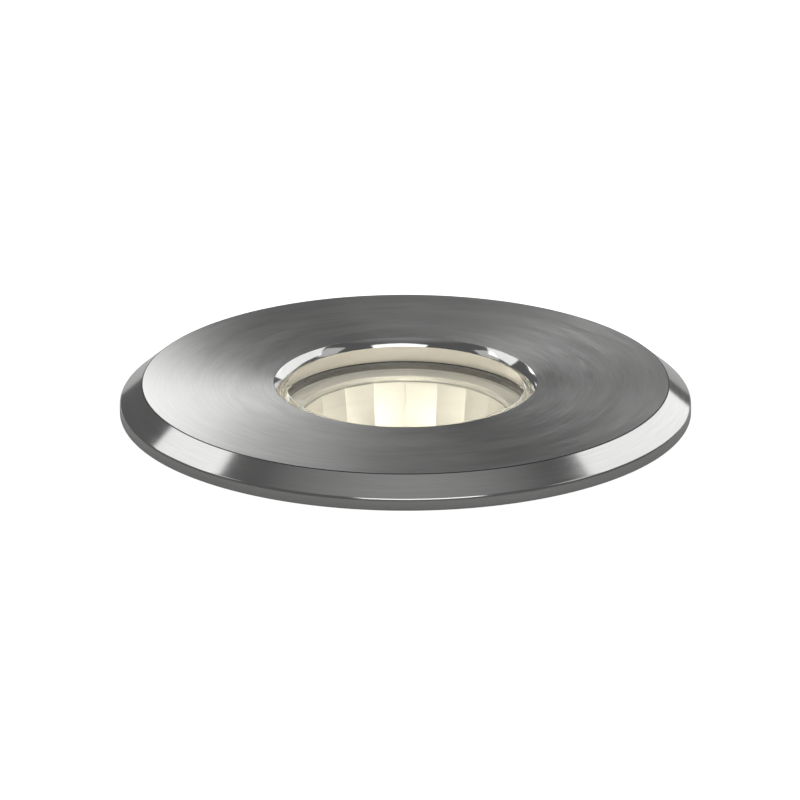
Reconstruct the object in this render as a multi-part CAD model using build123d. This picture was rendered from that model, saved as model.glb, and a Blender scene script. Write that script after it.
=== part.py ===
from build123d import *
import os
from math import cos, radians, sin

# In-ground LED well light. A turned stainless trim ring holds a thick glass and screws on a
# cast aluminium can, which drops into a plastic ground sleeve.
# Millimetres, +Z up. The origin is the centre of the light at finished ground level: the
# trim ring's seat lies on z = 0, and everything below z = 0 is buried.

# ---------------------------------------------------------------- driving dimensions (mm)
# Trim ring
TRIM_DIAMETER = 100.0
TRIM_HEIGHT = 5.3
TRIM_BEVEL_WIDTH = 3.95         # flat top to the outside, seen from above
TRIM_RIM_HEIGHT = 2.0           # upright rim under the bevel
TRIM_TOP_EDGE = 0.45            # radius between top and bevel
TRIM_RIM_EDGE = 0.7             # radius between bevel and rim
TRIM_FOOT_EDGE = 0.25           # radius at the ground
TRIM_SEAT_MARGIN = 1.0          # from the sleeve to the annulus that lies on the paving
TRIM_UNDERCUT = 0.4             # underside inside the seat
WINDOW_DIAMETER = 43.7
WINDOW_LIP_RADIUS = 1.25        # polished round of the window's edge
WINDOW_LAND = 0.25              # straight edge below that round
NECK_WALL = 3.4                 # from the glass bore to the thread
NECK_LIP = 0.9                  # metal below the snap ring

# Glass and what seats it
GLASS_SIDE_MARGIN = 0.55        # glass's edge outside the window's
GLASS_THICKNESS = 12.0
GLASS_RECESS = 0.9              # glass top below the trim's top
GLASS_CHAMFER = 1.65
GLASS_CLEARANCE = 0.2           # radial, glass to bore
GLASS_FOOT_CHAMFER = 0.3
SEAL_THICKNESS = 0.3            # upright thickness of the conical glass seal
SEAL_GAP = 0.1
SNAP_THICKNESS = 0.9
SNAP_OVERLAP = 1.1              # how far the snap ring and the cushion reach in under the glass
SNAP_DEPTH = 0.7                # how far the snap ring reaches into its groove
SNAP_SPLIT = 6.0                # opening in the ring, for fitting
SNAP_CLEARANCE = 0.2
SEAT_GAP = 0.05                 # between flat faces of pieces that turn on each other
CUSHION_THICKNESS = 1.25

# Screw joint of the trim ring on the can
THREAD_LEAD = 4.0               # rise of one turn
THREAD_TURNS = 2.0              # turns that free the ring
THREAD_CLEARANCE = 0.2

# Reflector
REFLECTOR_MOUTH_DIAMETER = 36.4
REFLECTOR_THROAT_DIAMETER = 14.4
REFLECTOR_DEPTH = 13.55
REFLECTOR_CLEARANCE = 0.4       # reflector's flange to the collar round it
REFLECTOR_SHEET = 0.8
REFLECTOR_FACETS = 20
REFLECTOR_WALL_HEIGHT = 8.3     # steep faceted wall below the mouth
REFLECTOR_WALL_TAPER = 0.9      # how far that wall draws in
THROAT_COLLAR_HEIGHT = 2.0      # upright throat round the emitter
DISH_TIERS = 3                  # rows of facets between throat and wall
RIM_CLEARANCE = 0.2             # reflector's rim to the cushion and the snap ring
RIM_STEP = 0.1                  # rim's bore outside the facets' corners
RIM_EDGE = 0.2                  # rounding of the rim

# LED module
EMITTER_DIAMETER = 12.0
EMITTER_HEIGHT = 1.0
EMITTER_EDGE = 0.25             # radius of the phosphor's edge
EMITTER_GAP = 0.3               # emitter to the reflector's throat
LED_BOARD_DIAMETER = 28.0
BOARD_THICKNESS = 1.6
HOLDER_HEIGHT = 0.8
HOLDER_MARGIN = 0.3             # round the emitter
HOLDER_OPENING = 12.6           # width of the gap in the holder over the solder pads
HOLDER_BRIDGE = 1.4             # plastic left between that gap and the emitter's hole
HOLDER_SCREW_INSET = 2.75       # from the board's edge
HOLDER_SCREW_ANGLES = (90.0, 270.0)
HOLDER_SCREW_LENGTH = 4.0
SPREADER_THICKNESS = 4.0
SPREADER_CLEARANCE = 0.2
LEAD_DIAMETER = 1.2
LEAD_HOLE_DIAMETER = 2.2
LEAD_RISE_RADIUS = 18.5         # where the leads come up through the spreader
LEAD_PAD_INSET = 1.4            # where they are soldered, from the LED board's edge
LEAD_ARCH = 1.6                 # height of the leads over the LED board
LEAD_BEND = 1.4
LEAD_ANGLES = (174.0, 186.0)

# Can
CAN_DIAMETER = 76.0
CAN_WALL = 3.5
CAN_TOP_PLATE = 6.0
COLLAR_WALL = 3.0
SHOULDER_THICKNESS = 3.5
SHOULDER_BORE_DIAMETER = 41.0
CAN_GROOVE_DEPTH = 1.9
CAN_GROOVE_WIDTH = 3.0
CAN_GROOVE_INSET = 8.5          # middle of each groove, from the can's top and bottom
RETAINING_RING_SECTION = 2.6    # diameter of the rubber rings that grip the sleeve
COLUMN_INSET = 4.5              # middle of the spreader's columns, from the cavity's wall
COLUMN_DIAMETER = 8.0
COLUMN_ANGLES = (90.0, 210.0, 330.0)
BOSS_DIAMETER = 8.4             # cover's screw bosses
BOSS_OVERLAP = 0.2              # how far each boss reaches into the can's wall
BOSS_HEIGHT = 6.5
BOSS_ANGLES = (45.0, 135.0, 225.0, 315.0)
TRIM_SEAL_SECTION = 1.8         # O-ring between can and trim
ORING_GROOVE_DEPTH = 1.5

# Driver
STANDOFF_LENGTH = 4.2
STANDOFF_WIDTH = 5.5            # across flats
STANDOFF_INSET = 10.5           # from the cavity's wall
STANDOFF_ANGLES = (30.0, 150.0, 270.0)
DRIVER_BOARD_MARGIN = 1.5       # board's edge to the cavity's wall
COMPONENT_SPACE = 7.0           # from driver board to the cover
COMPONENT_INSET = 14.0          # middle of the components, from the cavity's wall
INDUCTOR_DIAMETER = 11.0
INDUCTOR_HEIGHT = 5.5
INDUCTOR_RIM = 1.1              # thickness of the spool's cheeks
INDUCTOR_WAIST = 0.6            # depth of the winding below the cheeks
INDUCTOR_ANGLES = (0.0,)
CAPACITOR_DIAMETER = 6.3
CAPACITOR_HEIGHT = 6.0
CAPACITOR_EDGE = 0.5
CAPACITOR_ANGLES = (110.0, 135.0)
TERMINAL_SIZE = (8.0, 11.0, 6.0)
TERMINAL_HOLE_DIAMETER = 3.2    # wire holes and screw wells
TERMINAL_WELL_DEPTH = 1.8
TERMINAL_ANGLES = (240.0,)
CHIP_SIZE = (5.0, 6.0, 1.9)
CHIP_ANGLES = (60.0, 180.0, 305.0)

# Screws: (thread diameter, head diameter, head height, key width)
M3 = (3.0, 5.5, 2.0, 2.5)
M2 = (2.0, 3.8, 1.2, 1.5)
SCREW_CLEARANCE = 0.05          # shank in its tapped hole
HEAD_CLEARANCE = 0.3
HOLE_RUN_OUT = 1.2              # blind hole beyond the screw's end
SPREADER_SCREW_LENGTH = 10.0
BOARD_SCREW_LENGTH = 4.0
COVER_SCREW_LENGTH = 6.0
BASE_SCREW_LENGTH = 8.0

# Rear cover
COVER_THICKNESS = 3.5
COVER_MARGIN = 0.2              # cover edge inside the can's edge
COVER_CHAMFER = 0.7
COVER_SEAL_SECTION = 1.1
COVER_GROOVE_DEPTH = 1.2
VENT_CIRCLE = 40.0              # diameter
VENT_ANGLES = (270.0,)
VENT_THREAD = 6.0
VENT_HEAD_WIDTH = 9.0
VENT_HEAD_HEIGHT = 3.0
VENT_HOLE_DIAMETER = 1.5

# Cable gland, for a cable of about 6.5 mm
GLAND_THREAD = 12.0
GLAND_BORE = 7.0
GLAND_HEX = 16.0                # across flats
GLAND_HEX_HEIGHT = 4.0
GLAND_INNER_LENGTH = 8.0        # thread through the cover
GLAND_NECK_DIAMETER = 13.0
GLAND_NECK_LENGTH = 6.0
GLAND_SEAL_DIAMETER = 10.4
GLAND_SEAL_LENGTH = 5.0
GLAND_NUT_LENGTH = 9.0
GLAND_DOME_HEIGHT = 3.0
GLAND_DOME_FACE = 12.0          # diameter of the nut's flat end
GLAND_DOME_DIAMETER = 19.2      # where the dome's cone meets the hexagon
GLAND_CLEARANCE = 0.1
LOCKNUT_HEIGHT = 3.0

# Ground sleeve
SLEEVE_CLEARANCE = 1.0          # can to the sleeve's bore
SLEEVE_WALL = 2.6
SLEEVE_GRIP_GAP = 0.3           # retaining rings to the sleeve's bore
CABLE_SPACE = 5.0               # below the gland
LIFT_MARGIN = 1.0               # gland above the ground when the light is out
SLEEVE_GROOVES = 3              # keying grooves
SLEEVE_GROOVE_START = 14.0      # depth of the first
SLEEVE_GROOVE_PITCH = 18.0
SLEEVE_GROOVE_WIDTH = 4.0
SLEEVE_GROOVE_DEPTH = 1.0
SLEEVE_BOSS_DIAMETER = 7.2
SLEEVE_BOSS_OVERLAP = 0.2       # how far each boss reaches into the sleeve's wall
SLEEVE_BOSS_HEIGHT = 12.0
SLEEVE_BOSS_ANGLES = (30.0, 150.0, 270.0)
PORT_HEIGHT = 8.0               # cable port above the base
PORT_DIAMETER = 11.8
PORT_PAD_WIDTH = 17.5
PORT_PAD_REACH = 3.7            # flat of the pad, in from the sleeve's bore
GROMMET_FLANGE_DIAMETER = 15.5
GROMMET_FLANGE_THICKNESS = 1.5
GROMMET_BORE = 7.0
GROMMET_CLEARANCE = 0.1
BASE_THICKNESS = 3.5
BASE_RING_WALL = 1.8
BASE_RING_HEIGHT = 3.0
BASE_RING_GAP = 0.4             # locating ring to the bosses
BASE_HOLE_DIAMETER = 16.0       # in the middle, for water or a cable from below
DRAIN_SLOTS = 6
DRAIN_SLOT_LENGTH = 12.0
DRAIN_SLOT_WIDTH = 4.0
DRAIN_CIRCLE = 40.0

# ---------------------------------------------------------------- worked-out sizes
TRIM_RADIUS = TRIM_DIAMETER / 2
TRIM_TOP_RADIUS = TRIM_RADIUS - TRIM_BEVEL_WIDTH
WINDOW_RADIUS = WINDOW_DIAMETER / 2
GLASS_RADIUS = WINDOW_RADIUS + GLASS_SIDE_MARGIN
BORE_RADIUS = GLASS_RADIUS + GLASS_CLEARANCE
NECK_RADIUS = BORE_RADIUS + NECK_WALL
SNAP_RADIUS = BORE_RADIUS + SNAP_DEPTH
SNAP_INSIDE = GLASS_RADIUS - SNAP_OVERLAP
COLLAR_RADIUS = NECK_RADIUS + THREAD_CLEARANCE
CAN_RADIUS = CAN_DIAMETER / 2
CAVITY_RADIUS = CAN_RADIUS - CAN_WALL
COLUMN_CIRCLE = 2 * (CAVITY_RADIUS - COLUMN_INSET)
BOSS_CIRCLE = 2 * (CAVITY_RADIUS + BOSS_OVERLAP) - BOSS_DIAMETER
STANDOFF_CIRCLE = 2 * (CAVITY_RADIUS - STANDOFF_INSET)
COMPONENT_CIRCLE = 2 * (CAVITY_RADIUS - COMPONENT_INSET)
TRIM_SEAL_CIRCLE = COLLAR_RADIUS + CAVITY_RADIUS
COVER_SEAL_CIRCLE = CAN_RADIUS + CAVITY_RADIUS
SLEEVE_RADIUS = CAN_RADIUS + SLEEVE_CLEARANCE
SLEEVE_OUTSIDE = SLEEVE_RADIUS + SLEEVE_WALL
SLEEVE_BOSS_CIRCLE = 2 * (SLEEVE_RADIUS + SLEEVE_BOSS_OVERLAP) - SLEEVE_BOSS_DIAMETER
PORT_PAD_FACE = SLEEVE_RADIUS - PORT_PAD_REACH
SEAT_RADIUS = SLEEVE_OUTSIDE + TRIM_SEAT_MARGIN
HOLDER_SCREW_CIRCLE = LED_BOARD_DIAMETER - 2 * HOLDER_SCREW_INSET
LEAD_PAD_RADIUS = LED_BOARD_DIAMETER / 2 - LEAD_PAD_INSET
THROAT_RADIUS = REFLECTOR_THROAT_DIAMETER / 2
MOUTH_RADIUS = REFLECTOR_MOUTH_DIAMETER / 2

# Levels, from the top down
GLASS_TOP = TRIM_HEIGHT - GLASS_RECESS
GLASS_BOTTOM = GLASS_TOP - GLASS_THICKNESS
SNAP_TOP = GLASS_BOTTOM - SEAT_GAP
SNAP_BOTTOM = SNAP_TOP - SNAP_THICKNESS
NECK_BOTTOM = SNAP_BOTTOM - SEAT_GAP - NECK_LIP
CUSHION_TOP = SNAP_BOTTOM - SEAT_GAP
REFLECTOR_TOP = CUSHION_TOP - CUSHION_THICKNESS
RIM_TOP = SNAP_BOTTOM - RIM_CLEARANCE
SHOULDER_TOP = REFLECTOR_TOP - REFLECTOR_SHEET
COLLAR_BOTTOM = SHOULDER_TOP - SHOULDER_THICKNESS
REFLECTOR_BOTTOM = REFLECTOR_TOP - REFLECTOR_DEPTH
EMITTER_TOP = REFLECTOR_BOTTOM - EMITTER_GAP
LED_BOARD_TOP = EMITTER_TOP - EMITTER_HEIGHT
SPREADER_TOP = LED_BOARD_TOP - BOARD_THICKNESS
SPREADER_BOTTOM = SPREADER_TOP - SPREADER_THICKNESS
DRIVER_TOP = SPREADER_BOTTOM - STANDOFF_LENGTH
DRIVER_BOTTOM = DRIVER_TOP - BOARD_THICKNESS
CAN_BOTTOM = DRIVER_BOTTOM - COMPONENT_SPACE
COVER_BOTTOM = CAN_BOTTOM - COVER_THICKNESS
GLAND_HEX_BOTTOM = COVER_BOTTOM - GLAND_HEX_HEIGHT
GLAND_NECK_BOTTOM = GLAND_HEX_BOTTOM - GLAND_NECK_LENGTH
GLAND_NUT_TOP = GLAND_HEX_BOTTOM - GLAND_CLEARANCE
GLAND_NUT_BOTTOM = GLAND_NUT_TOP - GLAND_NUT_LENGTH
SLEEVE_BOTTOM = GLAND_NUT_BOTTOM - CABLE_SPACE
BASE_BOTTOM = SLEEVE_BOTTOM - BASE_THICKNESS
PORT_LEVEL = SLEEVE_BOTTOM + PORT_HEIGHT
CAN_GROOVE_LEVELS = (-CAN_GROOVE_INSET, CAN_BOTTOM + CAN_GROOVE_INSET)

# What the joints do
TRIM_LIFT = THREAD_LEAD * THREAD_TURNS
INSERT_TRAVEL = LIFT_MARGIN - GLAND_NUT_BOTTOM


# ---------------------------------------------------------------- shape helpers
def turned(*corners, rounds=None):
    """Solid of revolution about Z from (radius, height) corners, with a fillet radius each."""
    if rounds is None:
        outline = Polyline(*corners, close=True)
    else:
        outline = FilletPolyline(*corners, radius=rounds, close=True)
    return revolve(make_face(Plane.XZ * outline), Axis.Z)


def rod(radius, low, high):
    """Upright round bar on the Z axis."""
    return Pos(0, 0, low) * Cylinder(radius, high - low, align=(Align.CENTER, Align.CENTER, Align.MIN))


def tube(outer, inner, low, high):
    """Upright tube on the Z axis."""
    return rod(outer, low, high) - rod(inner, low, high)


def hexagon(across_flats, low, high):
    """Upright six-sided bar on the Z axis."""
    face = RegularPolygon(across_flats / 2, 6, major_radius=False)
    return Pos(0, 0, low) * extrude(face, high - low)


def block(size, low):
    """Block centred on the Z axis, standing on the level low."""
    return Pos(0, 0, low) * Box(*size, align=(Align.CENTER, Align.CENTER, Align.MIN))


def oring(circle_diameter, section_diameter, level):
    """Rubber ring round Z, its section centred on the given level."""
    return Pos(0, 0, level) * Torus(circle_diameter / 2, section_diameter / 2)


def placed(shape, radius, angles):
    """Copies of a shape, moved out along X by radius and turned to each angle about Z."""
    return Part() + [Rot(0, 0, angle) * Pos(radius, 0, 0) * shape for angle in angles]


def cap_screw(size, length):
    """Socket screw pointing up: the head's seat is at z = 0 and the shank rises from it."""
    thread, head, head_height, key = size
    tip_chamfer = thread / 8
    head_round = head_height / 6
    socket_floor = -head_height / 3
    body = rod(thread / 2, 0, length) + rod(head / 2, -head_height, 0)
    body = chamfer(body.edges().group_by(Axis.Z)[-1], tip_chamfer)
    body = fillet(body.edges().group_by(Axis.Z)[0], head_round)
    return body - hexagon(key, -head_height, socket_floor)


def tapped(size, low, high):
    """What a tapped hole for the screw takes away."""
    return rod(size[0] / 2 + SCREW_CLEARANCE, low, high)


def evenly(count):
    """Angles of so many places, spread round the circle."""
    return [360.0 / count * place for place in range(count)]


# ---------------------------------------------------------------- trim and glass
def trim_ring():
    """Turned steel ring: bevelled flange, polished window lip and a threaded neck."""
    lip_bottom = TRIM_HEIGHT - WINDOW_LIP_RADIUS - WINDOW_LAND
    cone_bottom = lip_bottom - (BORE_RADIUS - WINDOW_RADIUS)
    corners = [
        (SEAT_RADIUS, 0), (TRIM_RADIUS, 0),
        (TRIM_RADIUS, TRIM_RIM_HEIGHT), (TRIM_TOP_RADIUS, TRIM_HEIGHT),
        (WINDOW_RADIUS, TRIM_HEIGHT), (WINDOW_RADIUS, lip_bottom),
        (BORE_RADIUS, cone_bottom), (BORE_RADIUS, SNAP_TOP + SEAT_GAP),
        (SNAP_RADIUS + SNAP_CLEARANCE, SNAP_TOP + SEAT_GAP),
        (SNAP_RADIUS + SNAP_CLEARANCE, SNAP_BOTTOM - SEAT_GAP),
        (BORE_RADIUS, SNAP_BOTTOM - SEAT_GAP), (BORE_RADIUS, NECK_BOTTOM),
        (NECK_RADIUS, NECK_BOTTOM), (NECK_RADIUS, TRIM_UNDERCUT),
        (SEAT_RADIUS, TRIM_UNDERCUT),
    ]
    rounds = [
        0, TRIM_FOOT_EDGE, TRIM_RIM_EDGE, TRIM_TOP_EDGE, WINDOW_LIP_RADIUS,
        0, 0, 0, 0, 0, 0, 0, 0, 0, 0,
    ]
    return turned(*corners, rounds=rounds)


def glass_lens():
    """Thick clear disc with a wide bevel that bears up against the trim's cone."""
    return turned(
        (0, GLASS_BOTTOM),
        (GLASS_RADIUS - GLASS_FOOT_CHAMFER, GLASS_BOTTOM),
        (GLASS_RADIUS, GLASS_BOTTOM + GLASS_FOOT_CHAMFER),
        (GLASS_RADIUS, GLASS_TOP - GLASS_CHAMFER),
        (GLASS_RADIUS - GLASS_CHAMFER, GLASS_TOP),
        (0, GLASS_TOP),
    )


def glass_seal():
    """Thin conical silicone ring between the glass bevel and the trim's cone."""
    inner = WINDOW_RADIUS + SEAL_GAP
    outer = BORE_RADIUS - SEAL_GAP
    bevel_at_axis = GLASS_TOP + GLASS_RADIUS - GLASS_CHAMFER
    low = SEAL_GAP + bevel_at_axis
    return turned(
        (inner, low - inner), (outer, low - outer),
        (outer, low - outer + SEAL_THICKNESS), (inner, low - inner + SEAL_THICKNESS),
    )


def glass_snap_ring():
    """Split spring-steel ring in the neck's groove, which carries the glass."""
    ring = tube(SNAP_RADIUS, SNAP_INSIDE, SNAP_BOTTOM, SNAP_TOP)
    split = Pos(0, -SNAP_RADIUS, 0) * block((SNAP_SPLIT, SNAP_RADIUS, SNAP_THICKNESS), SNAP_BOTTOM)
    return ring - split


def glass_cushion():
    """Silicone ring under the glass, on the reflector's flange."""
    return tube(GLASS_RADIUS, SNAP_INSIDE, REFLECTOR_TOP, CUSHION_TOP)


def trim_seal():
    """O-ring in the can's top, under the trim ring."""
    level = TRIM_SEAL_SECTION / 2 - ORING_GROOVE_DEPTH
    return oring(TRIM_SEAL_CIRCLE, TRIM_SEAL_SECTION, level)


# ---------------------------------------------------------------- reflector and LED
def bowl_outline(sheet):
    """(radius, level) of the bowl's corners from throat to mouth, sheet further out and down."""
    dish_bottom = REFLECTOR_BOTTOM + THROAT_COLLAR_HEIGHT
    dish_height = REFLECTOR_DEPTH - THROAT_COLLAR_HEIGHT - REFLECTOR_WALL_HEIGHT
    dish_radius = MOUTH_RADIUS - REFLECTOR_WALL_TAPER
    outline = [(THROAT_RADIUS + sheet, REFLECTOR_BOTTOM)]
    for tier in range(DISH_TIERS + 1):
        turn = radians(90 * tier / DISH_TIERS)
        radius = THROAT_RADIUS + (dish_radius - THROAT_RADIUS) * sin(turn)
        level = dish_bottom + dish_height * (1 - cos(turn))
        outline.append((radius + sheet, level - sheet))
    return outline + [(MOUTH_RADIUS + sheet, REFLECTOR_TOP - sheet)]


def faceted_bowl(sheet):
    """Solid of flat facets inside the reflector, or round its sheet."""
    sections = [
        Pos(0, 0, level) * RegularPolygon(radius, REFLECTOR_FACETS)
        for radius, level in bowl_outline(sheet)
    ]
    return Part() + [loft([low, high], ruled=True) for low, high in zip(sections, sections[1:])]


def reflector():
    """Pressed aluminium bowl of flat facets, with a raised rim and a flange on the shoulder."""
    flange = rod(COLLAR_RADIUS - REFLECTOR_CLEARANCE, SHOULDER_TOP, REFLECTOR_TOP)
    rim_inside = MOUTH_RADIUS + RIM_STEP
    rim_outside = SNAP_INSIDE - RIM_CLEARANCE
    rim = turned(
        (rim_inside, SHOULDER_TOP), (rim_outside, SHOULDER_TOP),
        (rim_outside, RIM_TOP), (rim_inside, RIM_TOP),
        rounds=[0, 0, RIM_EDGE, RIM_EDGE],
    )
    return flange + faceted_bowl(REFLECTOR_SHEET) - faceted_bowl(0) + rim


def led_emitter():
    """Round chip-on-board light source under its phosphor."""
    body = rod(EMITTER_DIAMETER / 2, LED_BOARD_TOP, EMITTER_TOP)
    return fillet(body.edges().group_by(Axis.Z)[-1], EMITTER_EDGE)


def led_board():
    """Metal-core board, screwed to the heat spreader through the holder."""
    board = rod(LED_BOARD_DIAMETER / 2, SPREADER_TOP, LED_BOARD_TOP)
    hole = tapped(M2, SPREADER_TOP, LED_BOARD_TOP)
    return board - placed(hole, HOLDER_SCREW_CIRCLE / 2, HOLDER_SCREW_ANGLES)


def led_holder():
    """Plastic ring that presses the board down round the emitter."""
    top = LED_BOARD_TOP + HOLDER_HEIGHT
    inner = EMITTER_DIAMETER / 2 + HOLDER_MARGIN
    ring = tube(LED_BOARD_DIAMETER / 2, inner, LED_BOARD_TOP, top)
    pad_side = Pos(-LED_BOARD_DIAMETER / 2, 0, 0)
    reach = LED_BOARD_DIAMETER / 2 - inner - HOLDER_BRIDGE
    opening = pad_side * block((2 * reach, HOLDER_OPENING, HOLDER_HEIGHT), LED_BOARD_TOP)
    hole = tapped(M2, LED_BOARD_TOP, top)
    return ring - opening - placed(hole, HOLDER_SCREW_CIRCLE / 2, HOLDER_SCREW_ANGLES)


def led_holder_screws():
    """Two small screws down through holder and board into the spreader."""
    seat = LED_BOARD_TOP + HOLDER_HEIGHT
    screw = Pos(0, 0, seat) * Rot(180, 0, 0) * cap_screw(M2, HOLDER_SCREW_LENGTH)
    return placed(screw, HOLDER_SCREW_CIRCLE / 2, HOLDER_SCREW_ANGLES)


def heat_spreader():
    """Aluminium disc that carries the LED board and hands its heat to the can."""
    disc = rod(CAVITY_RADIUS - SPREADER_CLEARANCE, SPREADER_BOTTOM, SPREADER_TOP)
    screw_hole = tapped(M3, SPREADER_BOTTOM, SPREADER_TOP)
    holder_hole = tapped(M2, SPREADER_BOTTOM, SPREADER_TOP)
    lead_hole = rod(LEAD_HOLE_DIAMETER / 2, SPREADER_BOTTOM, SPREADER_TOP)
    disc -= placed(screw_hole, COLUMN_CIRCLE / 2, COLUMN_ANGLES)
    disc -= placed(screw_hole, STANDOFF_CIRCLE / 2, STANDOFF_ANGLES)
    disc -= placed(holder_hole, HOLDER_SCREW_CIRCLE / 2, HOLDER_SCREW_ANGLES)
    return disc - placed(lead_hole, LEAD_RISE_RADIUS, LEAD_ANGLES)


def spreader_screws():
    """Three screws up through the spreader into the can's columns."""
    screw = Pos(0, 0, SPREADER_BOTTOM) * cap_screw(M3, SPREADER_SCREW_LENGTH)
    return placed(screw, COLUMN_CIRCLE / 2, COLUMN_ANGLES)


def led_leads():
    """Two insulated wires from the driver board up to the LED board."""
    arch = LED_BOARD_TOP + LEAD_ARCH
    path = FilletPolyline(
        (LEAD_RISE_RADIUS, 0, DRIVER_TOP), (LEAD_RISE_RADIUS, 0, arch),
        (LEAD_PAD_RADIUS, 0, arch), (LEAD_PAD_RADIUS, 0, LED_BOARD_TOP),
        radius=LEAD_BEND,
    )
    section = Pos(LEAD_RISE_RADIUS, 0, DRIVER_TOP) * Circle(LEAD_DIAMETER / 2)
    wire = sweep(section, path)
    return Part() + [Rot(0, 0, angle) * wire for angle in LEAD_ANGLES]


# ---------------------------------------------------------------- can and driver
def housing_can():
    """Cast can: threaded collar and shoulder at the top, columns and bosses inside."""
    can = tube(CAN_RADIUS, CAVITY_RADIUS, CAN_BOTTOM, 0)
    can += tube(CAVITY_RADIUS, COLLAR_RADIUS, -CAN_TOP_PLATE, 0)
    can += tube(COLLAR_RADIUS + COLLAR_WALL, COLLAR_RADIUS, COLLAR_BOTTOM, -CAN_TOP_PLATE)
    can += tube(COLLAR_RADIUS, SHOULDER_BORE_DIAMETER / 2, COLLAR_BOTTOM, SHOULDER_TOP)
    column = rod(COLUMN_DIAMETER / 2, SPREADER_TOP, -CAN_TOP_PLATE)
    can += placed(column, COLUMN_CIRCLE / 2, COLUMN_ANGLES)
    can -= rod(COLLAR_RADIUS, SHOULDER_TOP, 0)
    column_depth = SPREADER_SCREW_LENGTH - SPREADER_THICKNESS + HOLE_RUN_OUT
    column_hole = tapped(M3, SPREADER_TOP, SPREADER_TOP + column_depth)
    can -= placed(column_hole, COLUMN_CIRCLE / 2, COLUMN_ANGLES)
    boss = rod(BOSS_DIAMETER / 2, CAN_BOTTOM, CAN_BOTTOM + BOSS_HEIGHT)
    can += placed(boss, BOSS_CIRCLE / 2, BOSS_ANGLES)
    boss_depth = COVER_SCREW_LENGTH - (COVER_THICKNESS - M3[2]) + HOLE_RUN_OUT
    boss_hole = tapped(M3, CAN_BOTTOM, CAN_BOTTOM + boss_depth)
    can -= placed(boss_hole, BOSS_CIRCLE / 2, BOSS_ANGLES)
    for level in CAN_GROOVE_LEVELS:
        low = level - CAN_GROOVE_WIDTH / 2
        high = level + CAN_GROOVE_WIDTH / 2
        can -= tube(CAN_RADIUS, CAN_RADIUS - CAN_GROOVE_DEPTH, low, high)
    half_groove = TRIM_SEAL_SECTION / 2 + SEAL_GAP
    seal_radius = TRIM_SEAL_CIRCLE / 2
    return can - tube(seal_radius + half_groove, seal_radius - half_groove, -ORING_GROOVE_DEPTH, 0)


def retaining_rings():
    """Two rubber rings in the can's outer grooves, which hold the light in its sleeve."""
    circle = 2 * (SLEEVE_RADIUS - SLEEVE_GRIP_GAP) - RETAINING_RING_SECTION
    return Part() + [oring(circle, RETAINING_RING_SECTION, level) for level in CAN_GROOVE_LEVELS]


def driver_standoffs():
    """Three hexagonal spacers between the spreader and the driver board."""
    spacer = hexagon(STANDOFF_WIDTH, DRIVER_TOP, SPREADER_BOTTOM)
    stud = rod(M3[0] / 2, SPREADER_BOTTOM, SPREADER_TOP)
    depth = BOARD_SCREW_LENGTH - BOARD_THICKNESS + HOLE_RUN_OUT
    hole = tapped(M3, DRIVER_TOP, DRIVER_TOP + depth)
    return placed(spacer + stud - hole, STANDOFF_CIRCLE / 2, STANDOFF_ANGLES)


def driver_board():
    """Round circuit board of the LED driver."""
    board = rod(CAVITY_RADIUS - DRIVER_BOARD_MARGIN, DRIVER_BOTTOM, DRIVER_TOP)
    return board - placed(tapped(M3, DRIVER_BOTTOM, DRIVER_TOP), STANDOFF_CIRCLE / 2, STANDOFF_ANGLES)


def driver_screws():
    """Three screws that hold the driver board on its spacers."""
    screw = Pos(0, 0, DRIVER_BOTTOM) * cap_screw(M3, BOARD_SCREW_LENGTH)
    return placed(screw, STANDOFF_CIRCLE / 2, STANDOFF_ANGLES)


def driver_inductor():
    """Wound choke on the driver board."""
    bottom = DRIVER_BOTTOM - INDUCTOR_HEIGHT
    radius = INDUCTOR_DIAMETER / 2
    spool = rod(radius, bottom, DRIVER_BOTTOM)
    waist = tube(radius, radius - INDUCTOR_WAIST, bottom + INDUCTOR_RIM, DRIVER_BOTTOM - INDUCTOR_RIM)
    return placed(spool - waist, COMPONENT_CIRCLE / 2, INDUCTOR_ANGLES)


def driver_capacitors():
    """Two round smoothing capacitors."""
    can = rod(CAPACITOR_DIAMETER / 2, DRIVER_BOTTOM - CAPACITOR_HEIGHT, DRIVER_BOTTOM)
    can = fillet(can.edges().group_by(Axis.Z)[0], CAPACITOR_EDGE)
    return placed(can, COMPONENT_CIRCLE / 2, CAPACITOR_ANGLES)


def driver_chips():
    """Flat parts of the driver: rectifier, switch and controller."""
    chip = block(CHIP_SIZE, DRIVER_BOTTOM - CHIP_SIZE[2])
    return placed(chip, COMPONENT_CIRCLE / 2, CHIP_ANGLES)


def terminal_block():
    """Two-way terminal for the supply wires, with its wire holes and screw wells."""
    length, width, height = TERMINAL_SIZE
    bottom = DRIVER_BOTTOM - height
    body = block(TERMINAL_SIZE, bottom)
    radius = TERMINAL_HOLE_DIAMETER / 2
    wire_hole = Pos(-length / 2, 0, bottom + height / 2) * Rot(0, 90, 0) * Cylinder(radius, length)
    screw_well = rod(radius, bottom, bottom + TERMINAL_WELL_DEPTH)
    for side in (-1, 1):
        body -= Pos(0, side * width / 4, 0) * (wire_hole + screw_well)
    return placed(body, COMPONENT_CIRCLE / 2, TERMINAL_ANGLES)


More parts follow.
